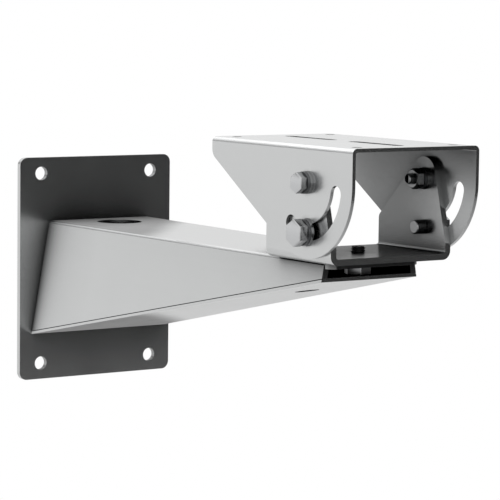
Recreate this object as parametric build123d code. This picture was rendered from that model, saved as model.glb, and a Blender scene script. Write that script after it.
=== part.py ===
from build123d import *
import math
import os

# Camera wall bracket, all sizes in millimetres
# The origin is the middle of the wall plate's back face
# X runs out from the wall along the arm, Y runs across it, Z is up

# Wall plate and its four screw holes
PLATE_T = 3.5
PLATE_W = 110.0
PLATE_H = 140.0
PLATE_CORNER_R = 5.0
PLATE_INSET_Y = 15.0
PLATE_INSET_Z = 10.0
PLATE_HOLE_D = 8.5

# Tapered arm folded from one sheet, its middle a little off the plate's
ARM_Y = 2.5
ARM_T = 3.5
ARM_BEND_IN_R = 0.3
ARM_BEND_OUT_R = 2.0
ARM_TOP_Z = 30.0
ARM_END_X = 290.3
ARM_ROOT_HALF = 36.4
ARM_END_HALF = 30.2
ARM_LEAN = 0.18
TONGUE_END_X = 296.0
TONGUE_CORNER_R = 5.0
CABLE_HOLE_X = 28.0
CABLE_HOLE_D = 28.0

# Flat floor welded under the arm's walls
FLOOR_T = 2.0
FLOOR_GROOVE = 0.5
FLOOR_ROOT_Z = -39.0
FLOOR_END_Z = 21.3
FLOOR_HOLE_X = 232.0
FLOOR_HOLE_D = 14.0

# Swivel yoke that turns on the end of the arm
PAN_X = 279.5
PIVOT_X = 289.5
PIVOT_Z = 73.0
SWIVEL_T = 3.5
SWIVEL_HALF = 40.0
SWIVEL_BEND_IN_R = 1.5
SWIVEL_LEN = 60.0
SWIVEL_BACK_Z = 50.0
SWIVEL_TOP_R = 10.0
SWIVEL_TOP_Z = 85.0
SWIVEL_FRONT_LEAN = 15.0
SWIVEL_CORNER_R = 4.0

# Camera yoke that tips about the pivot bolts
CAMERA_T = 2.0
CAMERA_BEND_IN_R = 1.0
CAMERA_TOP_Z = 93.0
CAMERA_BACK_X = 198.0
CAMERA_BACK_Z = 83.0
CAMERA_CORNER_R = 6.0
CHEEK_R = 40.5
LOCK_EDGE = 14.0
ARC_SLOT_W = 9.0
ARC_BACK_DEG = 32.0
ARC_FRONT_DEG = 80.0
CAMERA_PITCH_X = 112.0
CAMERA_PITCH_Y = 64.0
CAMERA_HOLE_D = 5.5
CAMERA_SLOT_L = 45.0
CAMERA_SLOT_W = 6.5
CAMERA_SLOT_PITCH = 60.0

# Screws, nuts and washers
M8_D = 8.0
M8_AF = 13.0
M8_HEAD = 5.3
M8_WASHER_D = 15.0
M8_SPRING_D = 14.0
M6_D = 6.0
M6_AF = 10.0
M6_HEAD = 4.0
M6_NUT = 5.0
M6_WASHER_D = 12.0
M6_SPRING_D = 11.8
WASHER_T = 1.6
PAN_BOLT_L = 10.0
PAN_TURN_DEG = -22.6
LOCK_BOLT_L = 15.0
PIVOT_BOLT_L = 20.0
RUNNING_GAP = 0.05
HOLE_PLAY = 0.2
END_CHAMFER = 0.7

# Places that follow from the sizes above
PLATE_PITCH_Y = PLATE_W - 2 * PLATE_INSET_Y
PLATE_PITCH_Z = PLATE_H - 2 * PLATE_INSET_Z
LOCK_REACH = CHEEK_R - LOCK_EDGE
PIVOT_HOLE_R = M6_D / 2 + RUNNING_GAP
PAN_HOLE_R = M8_D / 2 + RUNNING_GAP
CAMERA_HALF = SWIVEL_HALF + CAMERA_T
CAMERA_FRONT_X = PIVOT_X + CHEEK_R
CAMERA_MID_X = (CAMERA_BACK_X + CAMERA_FRONT_X) / 2
LOCK_Z = PIVOT_Z - LOCK_REACH
BASE_Z = ARM_TOP_Z
CHEEK_IN = SWIVEL_HALF - SWIVEL_T
FAR = 400.0


def at_arm(shape):
    """Moves a shape drawn about the plane y = 0 to the arm's own middle."""
    return Pos(0, ARM_Y, 0) * shape


def rod(radius, start, end):
    """A round bar between two points."""
    a = Vector(*start)
    b = Vector(*end)
    way = b - a
    return Plane(origin=a, z_dir=way) * Cylinder(
        radius, way.length, align=(Align.CENTER, Align.CENTER, Align.MIN)
    )


def y_rod(radius, x, z, half):
    """A round bar across the bracket, as long each way from the middle."""
    return rod(radius, (x, -half, z), (x, half, z))


def side_face(corners):
    """A flat face in the plane y = 0 through corners given as x, z."""
    points = [(x, 0, z) for x, z in corners]
    return make_face(Polyline(*points, close=True))


def across(face, half):
    """A side face thickened as far each way from the middle."""
    return extrude(face, amount=half, both=True)


def touching_point(corner, centre, radius, side):
    """Where a line from the corner touches a circle."""
    dx = corner[0] - centre[0]
    dz = corner[1] - centre[1]
    turn = side * math.acos(radius / math.hypot(dx, dz))
    angle = math.atan2(dz, dx) + turn
    return (centre[0] + radius * math.cos(angle), centre[1] + radius * math.sin(angle))


def on_circle(centre, radius, degrees):
    """A point of a circle in the side view, as x, z."""
    a = math.radians(degrees)
    return (centre[0] + radius * math.cos(a), centre[1] + radius * math.sin(a))


def wall_plate():
    """Flat plate screwed to the wall."""
    plate = extrude(
        Plane.YZ * RectangleRounded(PLATE_W, PLATE_H, PLATE_CORNER_R), amount=PLATE_T
    )
    for sy in (-1, 1):
        for sz in (-1, 1):
            y = sy * PLATE_PITCH_Y / 2
            z = sz * PLATE_PITCH_Z / 2
            plate -= rod(PLATE_HOLE_D / 2, (-1, y, z), (PLATE_T + 1, y, z))
    return plate


def arm_half(x, z, inset):
    """Half the width of the arm at a place, its walls moved inward by the inset."""
    taper = (ARM_END_HALF - ARM_ROOT_HALF) / (ARM_END_X - PLATE_T)
    square = math.sqrt(1 + taper ** 2 + ARM_LEAN ** 2)
    half = ARM_ROOT_HALF + taper * (x - PLATE_T) + ARM_LEAN * (ARM_TOP_Z - z)
    return half - inset * square


def arm_section(x, inset):
    """Cross section of the arm's block, wider at the foot than at the top."""
    top = ARM_TOP_Z - inset
    low = FLOOR_ROOT_Z - 20
    a = arm_half(x, top, inset)
    b = arm_half(x, low, inset)
    return make_face(Polyline((x, -a, top), (x, a, top), (x, b, low), (x, -b, low), close=True))


def arm_block(inset, radius):
    """The arm as a solid block with both long top edges rounded like the bend."""
    block = loft([arm_section(PLATE_T, inset), arm_section(ARM_END_X, inset)], ruled=True)
    top = ARM_TOP_Z - inset
    long_edges = [
        e for e in block.edges()
        if abs(e.center().Z - top) < 0.01 and e.length > ARM_END_X / 2
    ]
    return fillet(long_edges, radius)


def floor_slab(top_gap, depth):
    """A sloping slab under the arm, measured down from the walls' lower edges."""
    slope = (FLOOR_END_Z - FLOOR_ROOT_Z) / (ARM_END_X - PLATE_T)
    upright = math.sqrt(1 + slope ** 2)
    a = FLOOR_ROOT_Z - top_gap * upright
    b = FLOOR_END_Z - top_gap * upright
    drop = depth * upright
    corners = [(PLATE_T, a), (ARM_END_X, b), (ARM_END_X, b - drop), (PLATE_T, a - drop)]
    return across(side_face(corners), PLATE_W)


def tongue():
    """Flat end of the top sheet, running on past the walls, corners rounded."""
    start = ARM_END_X - 2 * ARM_T
    length = TONGUE_END_X - start
    plate = Pos((start + TONGUE_END_X) / 2, 0, ARM_TOP_Z - ARM_T / 2) * Box(
        length, 2 * ARM_END_HALF, ARM_T
    )
    corners = plate.edges().filter_by(Axis.Z).group_by(Axis.X)[-1]
    plate = fillet(corners, TONGUE_CORNER_R)
    beyond = Pos(ARM_END_X + FAR / 2, 0, 0) * Box(FAR, FAR, FAR)
    return plate & beyond


def arm_shell():
    """Top and both leaning walls, one sheet bent along the two long top edges."""
    outer = arm_block(0, ARM_BEND_OUT_R)
    inner = arm_block(ARM_T, ARM_BEND_IN_R)
    below = floor_slab(0, FAR)
    shell = outer - inner - below + tongue()
    top = ARM_TOP_Z + 1
    low = ARM_TOP_Z - ARM_T - 1
    shell -= rod(CABLE_HOLE_D / 2, (CABLE_HOLE_X, 0, low), (CABLE_HOLE_X, 0, top))
    shell -= rod(PAN_HOLE_R, (PAN_X, 0, low), (PAN_X, 0, top))
    return at_arm(shell)


def long_upper_edges(sheet):
    """The two long edges of the floor sheet that meet the walls' lower edges."""
    slope = (FLOOR_END_Z - FLOOR_ROOT_Z) / (ARM_END_X - PLATE_T)
    edges = []
    for e in sheet.edges():
        mid = e.center()
        seam_z = FLOOR_ROOT_Z + slope * (mid.X - PLATE_T)
        if e.length > ARM_END_X / 2 and abs(mid.Z - seam_z) < 0.05:
            edges.append(e)
    return edges


def arm_floor():
    """Flat closing sheet, flush with the walls, its upper long edges broken for the weld."""
    sheet = arm_block(0, ARM_BEND_OUT_R) & floor_slab(0, FLOOR_T)
    sheet = chamfer(long_upper_edges(sheet), FLOOR_GROOVE)
    slope = (FLOOR_END_Z - FLOOR_ROOT_Z) / (ARM_END_X - PLATE_T)
    top = FLOOR_ROOT_Z + slope * (FLOOR_HOLE_X - PLATE_T)
    reach = 3 * FLOOR_T
    low = (FLOOR_HOLE_X + reach * slope, 0, top - reach)
    high = (FLOOR_HOLE_X - reach * slope, 0, top + reach)
    sheet -= rod(FLOOR_HOLE_D / 2, low, high)
    return at_arm(sheet)


def channel(half, web_z, open_z, sheet, bend_r):
    """A long folded channel: one web and two cheeks, bent with a real inner radius."""
    up = 1 if open_z > web_z else -1
    height = abs(open_z - web_z)
    outer = Pos(0, 0, (web_z + open_z) / 2) * Box(2 * FAR, 2 * half, height)
    web = outer.edges().filter_by(Axis.X).group_by(Axis.Z)[0 if up > 0 else -1]
    outer = fillet(web, bend_r + sheet)
    inside = Pos(0, 0, (web_z + open_z) / 2 + up * sheet) * Box(
        2 * FAR, 2 * (half - sheet), height
    )
    web = inside.edges().filter_by(Axis.X).group_by(Axis.Z)[0 if up > 0 else -1]
    inside = fillet(web, bend_r)
    return outer - inside


def swivel_outline():
    """Side view of the swivel yoke: upright back, leaning front, round top."""
    centre = (PIVOT_X, SWIVEL_TOP_Z - SWIVEL_TOP_R)
    back = PAN_X - SWIVEL_LEN / 2
    front = PAN_X + SWIVEL_LEN / 2
    touch_front = on_circle(centre, SWIVEL_TOP_R, SWIVEL_FRONT_LEAN)
    lean = math.tan(math.radians(SWIVEL_FRONT_LEAN))
    front_z = touch_front[1] - (front - touch_front[0]) / lean
    touch_back = touching_point((back, SWIVEL_BACK_Z), centre, SWIVEL_TOP_R, -1)
    crown = (centre[0], SWIVEL_TOP_Z)
    lines = [
        Line((back, 0, BASE_Z), (front, 0, BASE_Z)),
        Line((front, 0, BASE_Z), (front, 0, front_z)),
        Line((front, 0, front_z), (touch_front[0], 0, touch_front[1])),
        ThreePointArc(
            (touch_front[0], 0, touch_front[1]),
            (crown[0], 0, crown[1]),
            (touch_back[0], 0, touch_back[1]),
        ),
        Line((touch_back[0], 0, touch_back[1]), (back, 0, SWIVEL_BACK_Z)),
        Line((back, 0, SWIVEL_BACK_Z), (back, 0, BASE_Z)),
    ]
    face = make_face(lines)
    knee = [
        v for v in face.vertices()
        if abs(v.X - back) < 0.01 and abs(v.Z - SWIVEL_BACK_Z) < 0.01
    ]
    return fillet(knee, SWIVEL_CORNER_R)


def swivel_yoke():
    """Folded yoke with a tapped base and tapped lock holes in its cheeks."""
    body = channel(SWIVEL_HALF, BASE_Z, PIVOT_Z + CHEEK_R, SWIVEL_T, SWIVEL_BEND_IN_R)
    body &= across(swivel_outline(), PLATE_W)
    body -= rod(M8_D / 2, (PAN_X, 0, BASE_Z - 1), (PAN_X, 0, BASE_Z + SWIVEL_T + 1))
    body -= y_rod(PIVOT_HOLE_R, PIVOT_X, PIVOT_Z, PLATE_W)
    body -= y_rod(M8_D / 2, PIVOT_X, LOCK_Z, PLATE_W)
    return at_arm(body)


def camera_outline():
    """Side view of the camera yoke: round about the pivot, cut back to the rear."""
    centre = (PIVOT_X, PIVOT_Z)
    rear = (CAMERA_BACK_X, CAMERA_BACK_Z)
    touch = touching_point(rear, centre, CHEEK_R, 1)
    low = on_circle(centre, CHEEK_R, -60)
    lines = [
        Line((rear[0], 0, rear[1]), (touch[0], 0, touch[1])),
        ThreePointArc(
            (touch[0], 0, touch[1]), (low[0], 0, low[1]), (CAMERA_FRONT_X, 0, PIVOT_Z)
        ),
        Line((CAMERA_FRONT_X, 0, PIVOT_Z), (CAMERA_FRONT_X, 0, CAMERA_TOP_Z)),
        Line((CAMERA_FRONT_X, 0, CAMERA_TOP_Z), (CAMERA_BACK_X, 0, CAMERA_TOP_Z)),
        Line((CAMERA_BACK_X, 0, CAMERA_TOP_Z), (rear[0], 0, rear[1])),
    ]
    face = make_face(lines)
    corner = [
        v for v in face.vertices()
        if abs(v.X - rear[0]) < 0.01 and abs(v.Z - rear[1]) < 0.01
    ]
    return fillet(corner, CAMERA_CORNER_R)


def arc_slot():
    """Curved slot round the pivot, cut through both cheeks for the lock bolts."""
    sweep = ARC_BACK_DEG + ARC_FRONT_DEG
    path = CenterArc((0, 0), LOCK_REACH, -90 - ARC_BACK_DEG, sweep)
    slot = Plane.XZ * (Pos(PIVOT_X, PIVOT_Z) * SlotArc(path, ARC_SLOT_W))
    return extrude(slot, amount=PLATE_W, both=True)


def camera_yoke():
    """Folded yoke whose flat top carries the camera."""
    body = channel(
        CAMERA_HALF, CAMERA_TOP_Z, PIVOT_Z - 2 * CHEEK_R, CAMERA_T, CAMERA_BEND_IN_R
    )
    body &= across(camera_outline(), PLATE_W)
    body -= y_rod(PIVOT_HOLE_R, PIVOT_X, PIVOT_Z, PLATE_W)
    body -= arc_slot()
    low = CAMERA_TOP_Z - CAMERA_T - 1
    for sx in (-1, 1):
        for sy in (-1, 1):
            x = CAMERA_MID_X + sx * CAMERA_PITCH_X / 2
            y = sy * CAMERA_PITCH_Y / 2
            body -= rod(CAMERA_HOLE_D / 2, (x, y, low), (x, y, CAMERA_TOP_Z + 1))
        mid = CAMERA_MID_X + sx * CAMERA_SLOT_PITCH / 2
        slot = Pos(mid, 0, low) * SlotOverall(CAMERA_SLOT_L, CAMERA_SLOT_W)
        body -= extrude(slot, amount=CAMERA_T + 2)
    return at_arm(body)


def hexagon(across_flats, height, both_ends):
    """A hexagon along Z standing on z = 0, its corners turned off at the top."""
    corner = across_flats / 2 / math.cos(math.radians(30))
    prism = extrude(RegularPolygon(corner, 6), amount=height)
    flat_r = 0.475 * across_flats
    grow = height / math.tan(math.radians(30))
    cone = Cone(flat_r + grow, flat_r, height, align=(Align.CENTER, Align.CENTER, Align.MIN))
    prism &= cone
    if both_ends:
        prism &= Pos(0, 0, height) * Rot(180, 0, 0) * cone
    return prism


def bolt(diameter, length, across_flats, head):
    """A hexagon bolt, shank from z = 0 down, head above."""
    shank = Cylinder(diameter / 2, length, align=(Align.CENTER, Align.CENTER, Align.MAX))
    tip = shank.edges().group_by(Axis.Z)[0]
    shank = chamfer(tip, END_CHAMFER)
    return shank + hexagon(across_flats, head, False)


def ring(outer_d, hole_r, thickness):
    """A flat washer standing on z = 0."""
    base = (Align.CENTER, Align.CENTER, Align.MIN)
    return Cylinder(outer_d / 2, thickness, align=base) - Cylinder(hole_r, thickness, align=base)


def spring_ring(outer_d, bolt_d):
    """A spring washer cut through at one place by a slanting saw cut."""
    body = ring(outer_d, bolt_d / 2 + HOLE_PLAY, WASHER_T)
    cut = Pos(outer_d / 2, 0, WASHER_T / 2) * Rot(25, 0, 0) * Box(outer_d, 0.8, 4 * WASHER_T)
    return body - cut


def outward(shape, x, y, z):
    """Stands a shape drawn along Z on the left cheek, its Z pointing out to +Y."""
    place = Plane(origin=(x, y, z), x_dir=(0, 0, 1), z_dir=(0, 1, 0))
    return place * shape


def both_sides(shape):
    """The left part and its mirror image on the right."""
    return at_arm(shape), at_arm(mirror(shape, about=Plane.XZ))


def pan_bolt():
    """Bolt from below through the tongue into the tapped yoke base."""
    body = Rot(180, 0, 0) * bolt(M8_D, PAN_BOLT_L, M8_AF, M8_HEAD)
    body = Rot(0, 0, PAN_TURN_DEG) * body
    return at_arm(Pos(PAN_X, 0, ARM_TOP_Z - ARM_T) * body)


def fasteners():
    """Everything that holds the two yokes together, named for its side."""
    out = CAMERA_HALF
    outer_spring = out + WASHER_T
    head = outer_spring + WASHER_T
    flat = CHEEK_IN - WASHER_T
    spring = flat - WASHER_T
    nut = spring - M6_NUT
    play = M6_D / 2 + HOLE_PLAY
    nut_body = hexagon(M6_AF, M6_NUT, True) - Cylinder(
        M6_D / 2, M6_NUT, align=(Align.CENTER, Align.CENTER, Align.MIN)
    )
    shapes = {
        "pivot_bolt": outward(
            bolt(M6_D, PIVOT_BOLT_L, M6_AF, M6_HEAD), PIVOT_X, head, PIVOT_Z
        ),
        "pivot_washer_outer": outward(
            ring(M6_WASHER_D, play, WASHER_T), PIVOT_X, out, PIVOT_Z
        ),
        "pivot_washer_inner": outward(
            ring(M6_WASHER_D, play, WASHER_T), PIVOT_X, flat, PIVOT_Z
        ),
        "pivot_spring_washer": outward(
            spring_ring(M6_SPRING_D, M6_D), PIVOT_X, spring, PIVOT_Z
        ),
        "pivot_head_spring": outward(
            spring_ring(M6_SPRING_D, M6_D), PIVOT_X, outer_spring, PIVOT_Z
        ),
        "pivot_nut": outward(nut_body, PIVOT_X, nut, PIVOT_Z),
        "lock_bolt": outward(
            bolt(M8_D, LOCK_BOLT_L, M8_AF, M8_HEAD), PIVOT_X, head, LOCK_Z
        ),
        "lock_washer": outward(
            ring(M8_WASHER_D, M8_D / 2 + HOLE_PLAY, WASHER_T), PIVOT_X, out, LOCK_Z
        ),
        "lock_head_spring": outward(
            spring_ring(M8_SPRING_D, M8_D), PIVOT_X, outer_spring, LOCK_Z
        ),
    }
    nodes = {}
    for name, shape in shapes.items():
        left, right = both_sides(shape)
        nodes[name + "_left"] = left
        nodes[name + "_right"] = right
    return nodes


def build():
    """Builds every node and writes one file for each."""
    nodes = {
        "wall_plate": wall_plate(),
        "arm_shell": arm_shell(),
        "arm_floor": arm_floor(),
        "swivel_yoke": swivel_yoke(),
        "camera_yoke": camera_yoke(),
        "pan_bolt": pan_bolt(),
    }
    nodes.update(fasteners())
    os.makedirs("parts", exist_ok=True)
    for name, shape in nodes.items():
        export_step(shape, "parts/" + name + ".step")


build()
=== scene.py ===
import bpy
import math
from mathutils import Matrix, Vector


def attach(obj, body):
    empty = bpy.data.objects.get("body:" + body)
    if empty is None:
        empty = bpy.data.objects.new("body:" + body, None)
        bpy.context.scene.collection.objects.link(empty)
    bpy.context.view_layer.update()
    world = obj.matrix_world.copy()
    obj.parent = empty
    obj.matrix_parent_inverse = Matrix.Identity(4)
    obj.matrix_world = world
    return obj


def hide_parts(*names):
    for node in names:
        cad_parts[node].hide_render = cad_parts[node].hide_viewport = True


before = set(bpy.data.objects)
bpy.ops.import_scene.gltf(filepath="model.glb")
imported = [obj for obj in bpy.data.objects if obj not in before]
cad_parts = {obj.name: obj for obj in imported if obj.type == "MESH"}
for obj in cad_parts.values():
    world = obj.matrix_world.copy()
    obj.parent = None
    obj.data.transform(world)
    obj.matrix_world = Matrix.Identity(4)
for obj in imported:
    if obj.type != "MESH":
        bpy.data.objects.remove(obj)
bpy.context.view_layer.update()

# The camera stands in front of the open end of the arm, on its near side, a
# little above it and far off, so that the perspective stays weak.
camera_place = Vector((1.3324, -0.7820, 0.1635))
camera_right = Vector((0.55998, 0.828417, 0.012142))
camera_up = Vector((-0.088411, 0.045179, 0.995059))
camera_lens = 174.55

camera_data = bpy.data.cameras.new("studio_camera")
camera_data.sensor_width = 36.0
camera_data.lens = camera_lens
camera_data.clip_end = 50.0
camera = bpy.data.objects.new("studio_camera", camera_data)
bpy.context.scene.collection.objects.link(camera)
camera_back = camera_right.cross(camera_up).normalized()
turn = Matrix((camera_right, camera_up, camera_back)).transposed().to_4x4()
camera.matrix_world = Matrix.Translation(camera_place) @ turn
bpy.context.scene.camera = camera


def hex_colour(code):
    """An sRGB hex colour as the linear colour that a shader takes."""
    levels = [int(code[i:i + 2], 16) / 255 for i in (1, 3, 5)]
    linear = [c / 12.92 if c <= 0.04045 else ((c + 0.055) / 1.055) ** 2.4 for c in levels]
    return (linear[0], linear[1], linear[2], 1.0)


def add_node(tree, kind, settings=None, inputs=None, links=None):
    """Adds one node with its settings, its socket values and its incoming links."""
    node = tree.nodes.new(kind)
    for name, value in (settings or {}).items():
        setattr(node, name, value)
    for name, value in (inputs or {}).items():
        node.inputs[name].default_value = value
    for name, source in (links or {}).items():
        tree.links.new(source, node.inputs[name])
    return node


# The studio: a white room whose light comes evenly from all sides. The camera
# and the mirrored rays see it pure white; what it sheds on the steel is softer.
view = bpy.context.scene.view_settings
view.view_transform = "Standard"

world = bpy.data.worlds.new("white_room")
bpy.context.scene.world = world
world.use_nodes = True
room = world.node_tree
room.nodes.clear()
rays = add_node(room, "ShaderNodeLightPath")
seen = add_node(room, "ShaderNodeMath", {"operation": "MAXIMUM"})
room.links.new(rays.outputs["Is Camera Ray"], seen.inputs[0])
room.links.new(rays.outputs["Is Glossy Ray"], seen.inputs[1])
seen_through = add_node(room, "ShaderNodeMath", {"operation": "MAXIMUM"})
room.links.new(seen.outputs[0], seen_through.inputs[0])
room.links.new(rays.outputs["Is Transmission Ray"], seen_through.inputs[1])
soft_room = add_node(room, "ShaderNodeBackground", inputs={
    "Color": hex_colour("#F5F5F5"), "Strength": 0.75})
white_room = add_node(room, "ShaderNodeBackground", inputs={
    "Color": hex_colour("#FFFFFF"), "Strength": 1.0})
chosen = add_node(room, "ShaderNodeMixShader")
room.links.new(seen_through.outputs[0], chosen.inputs[0])
room.links.new(soft_room.outputs[0], chosen.inputs[1])
room.links.new(white_room.outputs[0], chosen.inputs[2])
room_out = add_node(room, "ShaderNodeOutputWorld")
room.links.new(chosen.outputs[0], room_out.inputs["Surface"])

# A pale floor lies well below the bracket, which hangs free as on its wall. The
# steel mirrors it brighter towards the wall; the camera doesn't see it.
floor_level = -0.32
glow_at_wall = 0.40
glow_from_x = -0.1
glow_to_x = 0.6
bpy.ops.object.select_all(action="DESELECT")
bpy.ops.mesh.primitive_plane_add(size=14.0, location=(0.0, 0.0, floor_level))
floor = bpy.context.active_object
floor.name = "studio_floor"
floor_paint = bpy.data.materials.new("pale_floor_paint")
floor_paint.use_nodes = True
paint = floor_paint.node_tree
paint.nodes.clear()
rays = add_node(paint, "ShaderNodeLightPath")
place = add_node(paint, "ShaderNodeTexCoord")
place_parts = add_node(paint, "ShaderNodeSeparateXYZ", links={"Vector": place.outputs["Object"]})
brightness = add_node(paint, "ShaderNodeMapRange", inputs={
    "From Min": glow_from_x, "From Max": glow_to_x, "To Min": glow_at_wall, "To Max": 0.0},
    links={"Value": place_parts.outputs["X"]})
matt = add_node(paint, "ShaderNodeBsdfDiffuse", inputs={"Color": hex_colour("#D8D8D8")})
glow = add_node(paint, "ShaderNodeEmission", inputs={"Color": hex_colour("#FFFFFF")})
paint.links.new(brightness.outputs["Result"], glow.inputs["Strength"])
matt_and_glow = add_node(paint, "ShaderNodeAddShader")
paint.links.new(matt.outputs[0], matt_and_glow.inputs[0])
paint.links.new(glow.outputs[0], matt_and_glow.inputs[1])
floor_choice = add_node(paint, "ShaderNodeMixShader")
paint.links.new(rays.outputs["Is Glossy Ray"], floor_choice.inputs[0])
paint.links.new(matt.outputs[0], floor_choice.inputs[1])
paint.links.new(matt_and_glow.outputs[0], floor_choice.inputs[2])
floor_out = add_node(paint, "ShaderNodeOutputMaterial")
paint.links.new(floor_choice.outputs[0], floor_out.inputs["Surface"])
floor.data.materials.append(floor_paint)
floor.visible_camera = False


# Two matt cloths hang in the room where the camera doesn't see them. A tall dark
# one stands out in front of the bracket to its left, so that the wall plate and
# every edge turned away from the wall mirror it. A white strip hangs high at the
# near side of the wall, where the long bends mirror it.
def hang_cloth(name, place, aim, width, height, dye_name, colour):
    """Hangs one matt cloth in the room, turned to face a point."""
    bpy.ops.object.select_all(action="DESELECT")
    bpy.ops.mesh.primitive_plane_add(size=1.0)
    cloth = bpy.context.active_object
    cloth.name = name
    cloth.matrix_world = Matrix.Translation(place) @ (
        (aim - place).to_track_quat("Z", "Y").to_matrix().to_4x4()) @ (
        Matrix.Diagonal((width, height, 1.0, 1.0)))
    dye = bpy.data.materials.new(dye_name)
    dye.use_nodes = True
    shader = dye.node_tree.nodes["Principled BSDF"]
    shader.inputs["Base Color"].default_value = hex_colour(colour)
    shader.inputs["Roughness"].default_value = 1.0
    cloth.data.materials.append(dye)
    cloth.visible_camera = False


hang_cloth(
    "studio_dark_cloth", Vector((1.05, 0.66, 0.42)), Vector((0.05, 0.0, 0.42)), 1.2, 1.82,
    "dark_studio_cloth", "#464646")
hang_cloth(
    "studio_white_strip", Vector((-0.83, -0.60, 0.36)), Vector((0.25, 0.0, 0.08)), 1.4, 0.26,
    "white_studio_cloth", "#F8F8F8")

# Three softboxes shine on the bracket from the wall side: a long one overhead
# gives the bends their bright line, and two weak ones light the near side and
# the far side. Each line gives width, height, power and place.
lit_middle = Vector((0.15, 0.0, 0.0))
for name, width, height, power, place in (
        ("overhead_softbox", 1.6, 0.35, 2.0, Vector((-1.15, -0.2, 1.15))),
        ("near_softbox", 1.8, 1.8, 0.8, Vector((-1.1, -1.1, 0.3))),
        ("back_softbox", 1.4, 1.2, 1.0, Vector((-1.3, 1.2, 0.95)))):
    light = bpy.data.lights.new(name, "AREA")
    light.shape = "RECTANGLE"
    light.size = width
    light.size_y = height
    light.energy = power
    softbox = bpy.data.objects.new(name, light)
    bpy.context.scene.collection.objects.link(softbox)
    aim = (lit_middle - place).normalized()
    softbox.matrix_world = Matrix.Translation(place) @ (
        aim.to_track_quat("-Z", "Y").to_matrix().to_4x4())


# The folded sheets: wall plate, arm and both yokes are cut from steel sheet,
# bent, welded and blasted, then left as a clear satin metal. Blasting blurs what
# the steel mirrors. Its grain of 0.1 mm is too fine to show, so the surface has
# faint waves 12 mm wide, and streaks 3 mm wide along the rolled sheet.
cloud_size = 0.028
wave_size = 0.012
streak_length = 0.09
streak_width = 0.003
cloud_roughness = 0.012
streak_roughness = 0.008
tone_change = 0.03
wave_height = 0.00008
shade_samples = 16


def how_open(tree, reach, shut, clear, least):
    """How open a place is, from ambient occlusion, which paints shade: 1 in the open, down to the
    least where near faces shut it in.
    """
    openness = add_node(tree, "ShaderNodeAmbientOcclusion", {"samples": shade_samples}, {
        "Distance": reach})
    return add_node(tree, "ShaderNodeMapRange", None, {
        "From Min": shut, "From Max": clear, "To Min": least, "To Max": 1.0}, {
        "Value": openness.outputs["AO"]}).outputs["Result"]


def product(tree, first, second):
    """The product of two node outputs."""
    times = add_node(tree, "ShaderNodeMath", {"operation": "MULTIPLY"})
    tree.links.new(first, times.inputs[0])
    tree.links.new(second, times.inputs[1])
    return times.outputs[0]


# The arm's top and underside get a painted reflection of the dim wall plate, a darkening up to a
# slanted line at 68 to 102 mm from the wall in the arm's middle. Past 100 to 160 mm they no
# longer get painted shade in corners, only its side walls do. A face whose normal has 0.8 to 0.97
# of its length upright counts as top or underside.
plate_line = (0.068, 0.102)
plate_line_slant = 1.2
corner_end = (0.10, 0.16)
corner_rest = 0.1
flat_face = (0.8, 0.97)
hollow_reach = 0.13
hollow_range = (0.38, 0.5)


def dim_by_plate(tree, place, openness, root):
    """Paints the wall plate's reflection on the arm's flat faces as a darkening, with painted
    shade in its corners and deep inside.
    """
    along = add_node(tree, "ShaderNodeSeparateXYZ", links={"Vector": place.outputs["Object"]})
    turned = add_node(tree, "ShaderNodeSeparateXYZ", links={"Vector": place.outputs["Normal"]})
    flatness = add_node(tree, "ShaderNodeMath", {"operation": "ABSOLUTE"})
    tree.links.new(turned.outputs["Z"], flatness.inputs[0])
    at_root = add_node(tree, "ShaderNodeMapRange", None, {
        "From Min": flat_face[0], "From Max": flat_face[1], "To Min": 1.0, "To Max": root}, {
        "Value": flatness.outputs[0]})
    # Painted reflection of the wall plate: dark up to a slanted line.
    slanted = add_node(tree, "ShaderNodeMath", {"operation": "MULTIPLY_ADD"})
    tree.links.new(along.outputs["Y"], slanted.inputs[0])
    slanted.inputs[1].default_value = plate_line_slant
    tree.links.new(along.outputs["X"], slanted.inputs[2])
    by_plate = add_node(tree, "ShaderNodeMapRange", {"interpolation_type": "SMOOTHSTEP"}, {
        "From Min": plate_line[0], "From Max": plate_line[1], "To Max": 1.0}, {
        "Value": slanted.outputs[0], "To Min": at_root.outputs["Result"]})
    kept = product(tree, openness, by_plate.outputs["Result"])
    corners = add_node(tree, "ShaderNodeMapRange", None, {
        "From Min": corner_end[0], "From Max": corner_end[1], "To Min": 1.0,
        "To Max": corner_rest}, {"Value": along.outputs["X"]})
    share = add_node(tree, "ShaderNodeMapRange", None, {
        "From Min": flat_face[0], "From Max": flat_face[1], "To Min": 1.0}, {
        "Value": flatness.outputs[0], "To Max": corners.outputs["Result"]})
    lit = add_node(tree, "ShaderNodeMapRange", None, {"To Min": 1.0}, {
        "Value": share.outputs["Result"], "To Max": kept})
    # Painted shade: black deep inside the arm.
    hollow = how_open(tree, hollow_reach, hollow_range[0], hollow_range[1], 0.0)
    return product(tree, lit.outputs["Result"], hollow)


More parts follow.
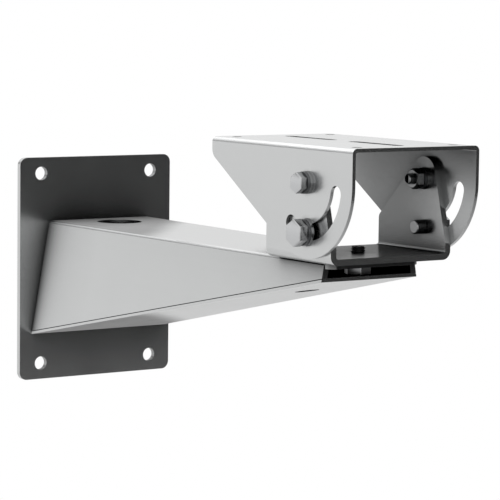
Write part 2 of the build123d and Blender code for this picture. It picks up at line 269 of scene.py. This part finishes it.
def satin_metal(name, colour, roughness, reach, shut, clear, least, root=None,
                painted_shade_colour="#101011", painted_shade_tint="#404040"):
    """A satin metal with painted shade: its colour and specular tint go dark in deep corners,
    shut in by near faces.
    """
    metal = bpy.data.materials.new(name)
    metal.use_nodes = True
    tree = metal.node_tree
    shader = tree.nodes["Principled BSDF"]
    shader.inputs["Metallic"].default_value = 1.0
    place = add_node(tree, "ShaderNodeTexCoord")

    clouds = add_node(tree, "ShaderNodeTexNoise", None, {
        "Scale": 1 / cloud_size, "Detail": 3.0, "Roughness": 0.55}, {
        "Vector": place.outputs["Object"]})
    rolled = add_node(tree, "ShaderNodeMapping", None, {
        "Scale": (1 / streak_length, 1 / streak_width, 1 / streak_width)}, {
        "Vector": place.outputs["Object"]})
    streaks = add_node(tree, "ShaderNodeTexNoise", None, {
        "Scale": 1.0, "Detail": 2.0}, {"Vector": rolled.outputs["Vector"]})
    dull = add_node(tree, "ShaderNodeMapRange", None, {
        "From Min": 0.3, "From Max": 0.7,
        "To Min": roughness - cloud_roughness, "To Max": roughness + cloud_roughness}, {
        "Value": clouds.outputs["Fac"]})
    streak_dull = add_node(tree, "ShaderNodeMapRange", None, {
        "From Min": 0.3, "From Max": 0.7,
        "To Min": -streak_roughness, "To Max": streak_roughness}, {
        "Value": streaks.outputs["Fac"]})
    both_dull = add_node(tree, "ShaderNodeMath", {"operation": "ADD"})
    tree.links.new(dull.outputs["Result"], both_dull.inputs[0])
    tree.links.new(streak_dull.outputs["Result"], both_dull.inputs[1])
    tree.links.new(both_dull.outputs[0], shader.inputs["Roughness"])

    waves = add_node(tree, "ShaderNodeTexNoise", None, {
        "Scale": 1 / wave_size, "Detail": 1.0, "Roughness": 0.4}, {
        "Vector": place.outputs["Object"]})
    unevenness = add_node(tree, "ShaderNodeBump", None, {
        "Strength": 0.08, "Distance": wave_height}, {"Height": waves.outputs["Fac"]})
    tree.links.new(unevenness.outputs["Normal"], shader.inputs["Normal"])

    red, green, blue, _ = hex_colour(colour)
    darker, lighter = 1 - tone_change, 1 + tone_change
    tone = add_node(tree, "ShaderNodeMix", {"data_type": "RGBA"})
    tone.inputs[6].default_value = (red * darker, green * darker, blue * darker, 1.0)
    tone.inputs[7].default_value = (red * lighter, green * lighter, blue * lighter, 1.0)
    tree.links.new(clouds.outputs["Fac"], tone.inputs[0])

    # Painted shade: where near faces shut a place in, the colour goes towards the painted shade
    # colour and the specular tint towards its dark tint.
    dimmed = how_open(tree, reach, shut, clear, least)
    if root is not None:
        dimmed = dim_by_plate(tree, place, dimmed, root)
    colour_mix = add_node(tree, "ShaderNodeMix", {"data_type": "RGBA"})
    colour_mix.inputs[6].default_value = hex_colour(painted_shade_colour)
    tree.links.new(tone.outputs[2], colour_mix.inputs[7])
    tree.links.new(dimmed, colour_mix.inputs[0])
    tree.links.new(colour_mix.outputs[2], shader.inputs["Base Color"])
    rim_mix = add_node(tree, "ShaderNodeMix", {"data_type": "RGBA"})
    rim_mix.inputs[6].default_value = hex_colour(painted_shade_tint)
    rim_mix.inputs[7].default_value = hex_colour("#F4F4F4")
    tree.links.new(dimmed, rim_mix.inputs[0])
    tree.links.new(rim_mix.outputs[2], shader.inputs["Specular Tint"])
    return metal


def dress(names, metal):
    """Gives the named CAD pieces one metal."""
    for name in names:
        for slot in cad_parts[name].material_slots:
            slot.material = metal


# The plate's steel is pale and satin, with painted shade in the corner with the arm.
plate_steel = satin_metal(
    "satin_steel_of_the_plate", "#C8C9C9", 0.25, reach=0.05, shut=0.25, clear=0.9, least=0.0)
dress(("wall_plate",), plate_steel)
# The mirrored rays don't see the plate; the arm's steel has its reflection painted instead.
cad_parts["wall_plate"].visible_glossy = False

# The arm's steel is the same, with a painted reflection of the plate dimming its top, painted
# shade in the corner at the plate, and painted shade that makes it black inside. Its floor, a
# sheet of its own, has a still darker painted reflection of the plate.
arm_steel = satin_metal(
    "satin_steel_of_the_arm", "#C2C3C3", 0.25, reach=0.06, shut=0.45, clear=0.985, least=0.0,
    root=0.6)
floor_steel = satin_metal(
    "satin_steel_of_the_arm_floor", "#C3C4C4", 0.25, reach=0.06, shut=0.4, clear=0.985, least=0.5,
    root=0.05, painted_shade_colour="#555556", painted_shade_tint="#9E9E9E")
dress(("arm_shell",), arm_steel)
dress(("arm_floor",), floor_steel)

# The yokes' steel is the palest, and painted shade darkens only the deep nook between them.
yoke_steel = satin_metal(
    "satin_steel_of_the_yokes", "#C9CACA", 0.25, reach=0.13, shut=0.05, clear=0.75, least=0.05)
dress(("swivel_yoke", "camera_yoke"), yoke_steel)

# Nuts and washers: pressed and turned steel with a thin zinc plating, a little smoother than the
# sheets. They sit between the bolt heads and the cheeks, and behind them, with painted shade
# where near faces shut them in. The spring washers are painted darker, as shade around the bolt
# heads, so the stacks read.
zinc_steel = satin_metal(
    "zinc_plated_steel", "#C1C2C3", 0.24, reach=0.08, shut=0.0, clear=0.9, least=0.12)
spring_steel = satin_metal(
    "spring_steel_darkened_as_shade", "#8E8F91", 0.34, reach=0.05, shut=0.0, clear=0.9, least=0.1)
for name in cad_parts:
    if name.startswith(("pivot_", "lock_", "pan_")):
        dress((name,), spring_steel if "spring" in name else zinc_steel)


# The M8 and M6 bolts: cold-headed hexagon bolts with rolled threads, zinc
# plated like the nuts. Each stands in for the plain bolt of the CAD frame. The
# thread's outline is given in eighths of its pitch, from root (0) to crest (1).
corner_share = 0.035
thread_depth = 0.6
thread_outline = (0.0, 0.0, 0.5, 1.0, 1.0, 1.0, 0.5, 0.0, 0.0)
steps_per_turn = 28
end_chamfer = 0.0007
into_head = 0.0002


def hexagon_bolt(name, diameter, pitch, length, across_flats, head):
    """A bolt along Z: its head stands on z = 0, its threaded shank hangs below."""
    bpy.ops.object.select_all(action="DESELECT")
    bpy.ops.mesh.primitive_cylinder_add(
        vertices=6, radius=across_flats / 2 / math.cos(math.radians(30)), depth=head,
        location=(0.0, 0.0, head / 2), rotation=(0.0, 0.0, math.radians(90)))
    bolt = bpy.context.active_object
    bolt.name = name
    bpy.ops.object.transform_apply(location=True, rotation=True, scale=True)
    softened = bolt.modifiers.new("softened_edges", "BEVEL")
    softened.width = corner_share * across_flats
    softened.segments = 3
    softened.limit_method = "ANGLE"
    bpy.ops.object.modifier_apply(modifier=softened.name)

    root_r = diameter / 2 - thread_depth * pitch
    crest_r = diameter / 2
    bpy.ops.object.select_all(action="DESELECT")
    bpy.ops.mesh.primitive_plane_add(size=pitch, location=(0.0, 0.0, 0.0))
    shank = bpy.context.active_object
    bpy.ops.object.mode_set(mode="EDIT")
    bpy.ops.mesh.select_all(action="DESELECT")
    bpy.ops.object.mode_set(mode="OBJECT")
    for corner in shank.data.vertices:
        corner.select = corner.co.x < 0
    bpy.ops.object.mode_set(mode="EDIT")
    bpy.ops.mesh.delete(type="VERT")
    bpy.ops.mesh.select_all(action="SELECT")
    eighths = len(thread_outline) - 1
    bpy.ops.mesh.subdivide(number_cuts=eighths - 1)
    bpy.ops.object.mode_set(mode="OBJECT")
    profile = shank.data.vertices
    low = min(point.co.y for point in profile)
    for point in profile:
        step = round((point.co.y - low) / pitch * eighths)
        radius = root_r + thread_outline[step] * (crest_r - root_r)
        point.co = (radius, 0.0, step * pitch / eighths)
    turns = math.ceil(length / pitch) + 3
    helix = shank.modifiers.new("rolled_thread", "SCREW")
    helix.axis = "Z"
    helix.angle = math.radians(360)
    helix.screw_offset = pitch
    helix.iterations = turns
    helix.steps = steps_per_turn
    helix.render_steps = steps_per_turn
    bpy.context.view_layer.objects.active = shank
    bpy.ops.object.modifier_apply(modifier=helix.name)
    for point in shank.data.vertices:
        point.co.z -= length + 1.5 * pitch
    bpy.ops.object.mode_set(mode="EDIT")
    bpy.ops.mesh.select_all(action="SELECT")
    bpy.ops.mesh.remove_doubles(threshold=pitch / 100)
    bpy.ops.mesh.select_all(action="SELECT")
    bpy.ops.mesh.bisect(
        plane_co=(0.0, 0.0, -length), plane_no=(0.0, 0.0, -1.0), use_fill=True, clear_outer=True)
    bpy.ops.mesh.select_all(action="SELECT")
    bpy.ops.mesh.bisect(
        plane_co=(0.0, 0.0, into_head), plane_no=(0.0, 0.0, 1.0), use_fill=True, clear_outer=True)
    bpy.ops.mesh.select_all(action="SELECT")
    bpy.ops.mesh.normals_make_consistent(inside=False)
    bpy.ops.object.mode_set(mode="OBJECT")
    for point in shank.data.vertices:
        radius = math.hypot(point.co.x, point.co.y)
        widest = crest_r - end_chamfer + (point.co.z + length)
        if radius > widest:
            point.co.x *= widest / radius
            point.co.y *= widest / radius

    bpy.ops.object.select_all(action="DESELECT")
    shank.select_set(True)
    bolt.select_set(True)
    bpy.context.view_layer.objects.active = bolt
    bpy.ops.object.join()
    bpy.ops.object.shade_smooth_by_angle(angle=math.radians(32))
    return bolt


def set_bolt(bolt, name, place, metal, node):
    """Puts a bolt in its place with its own mesh, in the CAD bolt's stead."""
    if bolt.name != name:
        mesh = bolt.data.copy()
        bolt = bolt.copy()
        bolt.data = mesh
        bolt.name = name
        bpy.context.scene.collection.objects.link(bolt)
    bolt.data.transform(place)
    bolt.data.materials.clear()
    bolt.data.materials.append(metal)
    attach(bolt, "swivel")
    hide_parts(node)
    return bolt


arm_y = 0.0025
pivot_x = 0.2895
pivot_z = 0.073
lock_z = 0.0465
head_seat = 0.0452
out_left = Matrix(((0, 1, 0), (0, 0, 1), (1, 0, 0))).to_4x4()
out_right = Matrix(((0, -1, 0), (0, 0, -1), (1, 0, 0))).to_4x4()

# The pivot bolts are M6 by 20 and the lock bolts M8 by 15, one of each on
# either side. Each line gives diameter, pitch, length, width over the head's
# flats, the head's height and the bolt's level.
for kind, diameter, pitch, length, across_flats, head, level in (
        ("pivot_bolt_", 0.006, 0.001, 0.020, 0.010, 0.004, pivot_z),
        ("lock_bolt_", 0.008, 0.00125, 0.015, 0.013, 0.0053, lock_z)):
    spare = hexagon_bolt("spare_bolt", diameter, pitch, length, across_flats, head)
    for side, turned, outward in (("left", out_left, 1), ("right", out_right, -1)):
        seat = Matrix.Translation((pivot_x, arm_y + outward * head_seat, level))
        set_bolt(spare, "threaded_" + kind + side, seat @ turned, zinc_steel, kind + side)
    bpy.data.objects.remove(spare, do_unlink=True)

# The pan bolt: an M8 bolt pushed up from inside the arm through the tongue, screwed into the
# tapped base of the swivel yoke, which it clamps. Its zinc is duller, with painted shade where
# near faces shut it in, and the thread that stands out of the base is painted near black as
# shade.
pan_x = 0.2795
tongue_under = 0.0265
head_turn = math.radians(-22.6)
# Painted shade on the pan bolt where near faces shut it in.
pan_zinc_steel = satin_metal(
    "zinc_plated_steel_of_the_pan_bolt", "#C1C2C3", 0.3, reach=0.03, shut=0.0, clear=0.6,
    least=0.35)
pan_bolt = hexagon_bolt("threaded_pan_bolt", 0.008, 0.00125, 0.010, 0.013, 0.0053)
upside_down = Matrix.Rotation(head_turn, 4, "Z") @ Matrix.Rotation(math.pi, 4, "X")
set_bolt(
    pan_bolt, "threaded_pan_bolt",
    Matrix.Translation((pan_x, arm_y, tongue_under)) @ upside_down, pan_zinc_steel, "pan_bolt")

# Painted shade: the thread above the base gets a near-black colour, with blotchy roughness.
blotch_size = 0.0012
above_head = 0.0003
dark_thread = bpy.data.materials.new("thread_painted_black_as_shade")
dark_thread.use_nodes = True
tree = dark_thread.node_tree
place = add_node(tree, "ShaderNodeTexCoord")
thread_blotches = add_node(tree, "ShaderNodeTexNoise", None, {"Scale": 1 / blotch_size, "Detail": 2.0}, {
    "Vector": place.outputs["Object"]})
blotchy_roughness = add_node(tree, "ShaderNodeMapRange", None, {"To Min": 0.45, "To Max": 0.7}, {
    "Value": thread_blotches.outputs["Fac"]})
shader = tree.nodes["Principled BSDF"]
shader.inputs["Base Color"].default_value = hex_colour("#0C0C0D")
tree.links.new(blotchy_roughness.outputs["Result"], shader.inputs["Roughness"])
pan_bolt.data.materials.append(dark_thread)
for face in pan_bolt.data.polygons:
    if face.center.z > tongue_under + above_head:
        face.material_index = 1
